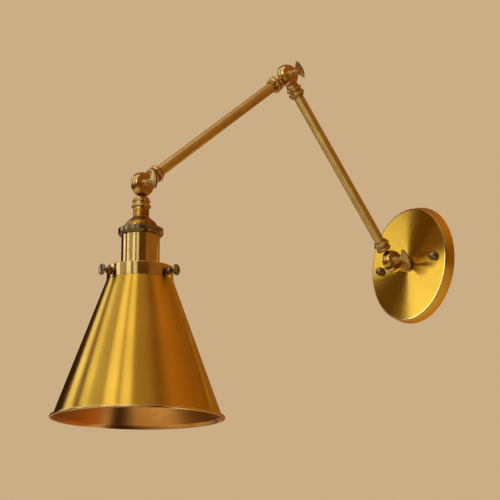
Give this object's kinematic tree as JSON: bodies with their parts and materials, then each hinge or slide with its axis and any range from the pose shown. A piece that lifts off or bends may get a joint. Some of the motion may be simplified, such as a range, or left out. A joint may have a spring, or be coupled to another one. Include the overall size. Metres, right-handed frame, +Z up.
{
  "type": "extendable wall lamp",
  "caption": "Wall lamp with a round plate, a folding arm of two tubes on ball knuckles clamped by flat keys, and a lampholder with a spun cone shade.",
  "frame": {"origin": "middle of the mounting bar's back face, on the wall", "axes": "+Z up, +Y into the wall, so the lamp stands out along -Y; +X is the side that the keys are on"},
  "size_m": [0.155, 0.404, 0.3665],
  "materials": {
    "antique_brass": "satin",
    "dark_antique_brass": "satin",
    "bare_brass": "satin",
    "zinc_steel": "satin",
    "porcelain": "gloss",
    "moulded_phenolic": "matte",
    "lead_sleeving": "matte"
  },
  "bodies": {
    "base": {"wall_plate": "antique_brass", "mounting_bar": "zinc_steel", "bar_studs": "zinc_steel", "stud_lock_nuts": "zinc_steel", "cap_nuts": "antique_brass", "earth_screw": "bare_brass", "terminal_block": "moulded_phenolic", "terminal_clamp_screws": "bare_brass", "base_washer": "zinc_steel", "base_lock_nut": "bare_brass", "base_collar": "antique_brass", "base_knuckle": "antique_brass", "base_leads": "lead_sleeving", "wall_friction_washer": "zinc_steel"},
    "wall_key": {"wall_key": "antique_brass"},
    "lower_arm": {"lower_wall_knuckle": "antique_brass", "lower_wall_collar": "antique_brass", "lower_arm_tube": "antique_brass", "lower_elbow_collar": "antique_brass", "lower_elbow_knuckle": "antique_brass", "lower_arm_leads": "lead_sleeving", "elbow_friction_washer": "zinc_steel"},
    "elbow_key": {"elbow_key": "antique_brass"},
    "upper_arm": {"upper_elbow_knuckle": "antique_brass", "upper_elbow_collar": "antique_brass", "upper_arm_tube": "antique_brass", "upper_head_collar": "antique_brass", "upper_head_knuckle": "antique_brass", "upper_arm_leads": "lead_sleeving", "head_friction_washer": "zinc_steel"},
    "head_key": {"head_key": "antique_brass"},
    "head": {"head_knuckle": "antique_brass", "head_collar": "antique_brass", "head_lock_nut": "zinc_steel", "socket_cap": "antique_brass", "socket_ring": "dark_antique_brass", "socket_shell": "antique_brass", "socket_liner": "moulded_phenolic", "lampholder_core": "porcelain", "lampholder_screws": "bare_brass", "screw_contact": "bare_brass", "centre_contact": "bare_brass", "head_leads": "lead_sleeving", "shade_gallery": "antique_brass", "gallery_bosses": "dark_antique_brass", "gallery_retaining_ring": "antique_brass", "shade": "antique_brass"},
    "shade_screw_right": {"shade_screw_right": "dark_antique_brass"},
    "shade_screw_back": {"shade_screw_back": "dark_antique_brass"},
    "shade_screw_left": {"shade_screw_left": "dark_antique_brass"}
  },
  "joints": [
    {"name": "wall_pivot", "type": "hinge", "parent": "base", "child": "lower_arm", "pos_m": [0, -0.032, 0], "axis": [-1, 0, 0], "range_deg": [-53, 27]},
    {"name": "elbow_pivot", "type": "hinge", "parent": "lower_arm", "child": "upper_arm", "pos_m": [0, -0.16199, 0.1725], "axis": [-1, 0, 0], "range_deg": [-24, 110]},
    {"name": "head_pivot", "type": "hinge", "parent": "upper_arm", "child": "head", "pos_m": [0, -0.32648, 0.03251], "axis": [1, 0, 0], "range_deg": [-125, 65]},
    {"name": "wall_key_turn", "type": "hinge", "parent": "base", "child": "wall_key", "pos_m": [0, -0.032, 0], "axis": [1, 0, 0], "range_deg": [0, 270]},
    {"name": "elbow_key_turn", "type": "hinge", "parent": "lower_arm", "child": "elbow_key", "pos_m": [0, -0.16199, 0.1725], "axis": [1, 0, 0], "range_deg": [0, 270]},
    {"name": "head_key_turn", "type": "hinge", "parent": "upper_arm", "child": "head_key", "pos_m": [0, -0.32648, 0.03251], "axis": [1, 0, 0], "range_deg": [0, 270]},
    {"name": "shade_screw_right_slide", "type": "slide", "parent": "head", "child": "shade_screw_right", "axis": [0.8894, 0.4571, 0], "range_m": [0, 0.005]},
    {"name": "shade_screw_back_slide", "type": "slide", "parent": "head", "child": "shade_screw_back", "axis": [-0.8406, 0.5417, 0], "range_m": [0, 0.005]},
    {"name": "shade_screw_left_slide", "type": "slide", "parent": "head", "child": "shade_screw_left", "axis": [-0.0489, -0.9988, 0], "range_m": [0, 0.005]}
  ]
}
